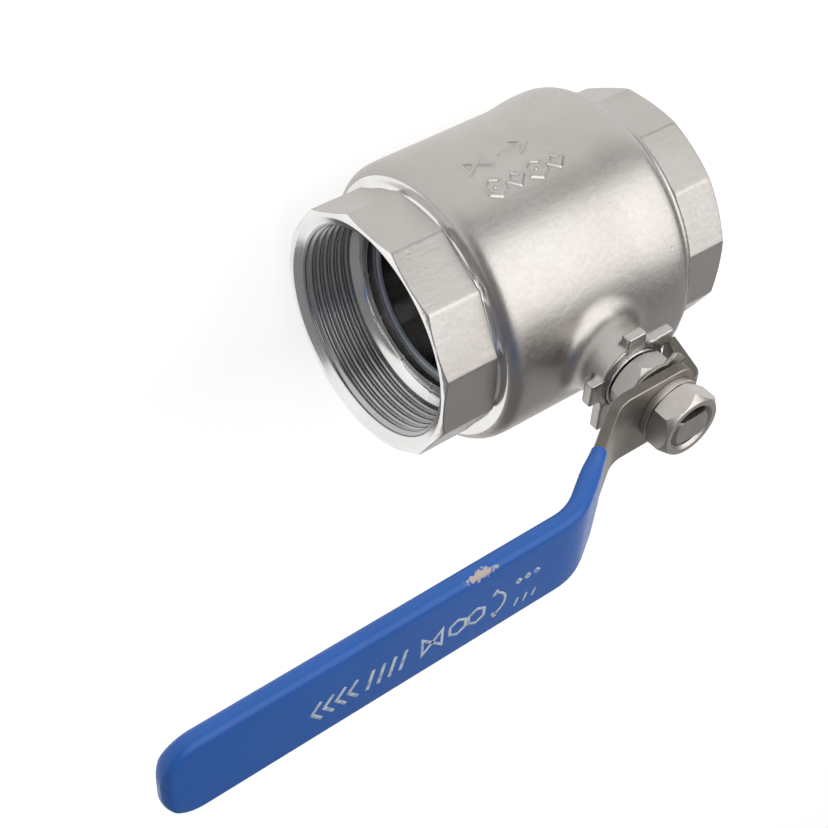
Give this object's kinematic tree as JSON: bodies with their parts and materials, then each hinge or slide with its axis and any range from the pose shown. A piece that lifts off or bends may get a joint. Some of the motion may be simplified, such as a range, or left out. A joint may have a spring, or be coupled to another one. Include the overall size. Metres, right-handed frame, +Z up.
{
  "type": "ball valve",
  "caption": "Two-piece threaded pipe ball valve with a bent strip lever in a vinyl sleeve; a quarter turn of the lever swings the bored ball from open to closed.",
  "frame": {"origin": "centre of the ball, where the pipe axis meets the stem axis", "axes": "+X along the pipe towards the body's own threaded end, the way the lever points when the valve is open; +Z up the stem to the lever nut; +Y completes a right-handed frame"},
  "size_m": [0.2045, 0.0804, 0.1249],
  "materials": {
    "cast_steel": "bead-blasted casting",
    "ball_steel": "polished",
    "turned_steel": "machined",
    "strip_steel": "tumbled sheet",
    "white_ptfe": "smooth",
    "blue_vinyl": "dipped, satin"
  },
  "bodies": {
    "body": {"valve_body": "cast_steel", "end_cap": "cast_steel", "seat_ring_near": "white_ptfe", "seat_ring_far": "white_ptfe", "body_gasket": "white_ptfe", "thrust_washer": "white_ptfe", "packing_ring_lower": "white_ptfe", "packing_ring_middle": "white_ptfe", "packing_ring_upper": "white_ptfe", "gland_bushing": "turned_steel"},
    "stem_and_lever": {"stem": "turned_steel", "ball": "ball_steel", "packing_nut": "turned_steel", "lock_washer": "turned_steel", "lever": "strip_steel", "lever_sleeve": "blue_vinyl", "spring_washer": "turned_steel", "lever_nut": "turned_steel"}
  },
  "joints": [
    {"name": "lever_turn", "type": "hinge", "parent": "body", "child": "stem_and_lever", "pos_m": [0, 0, 0], "axis": [0, 0, -1], "range_deg": [0, 90]}
  ]
}
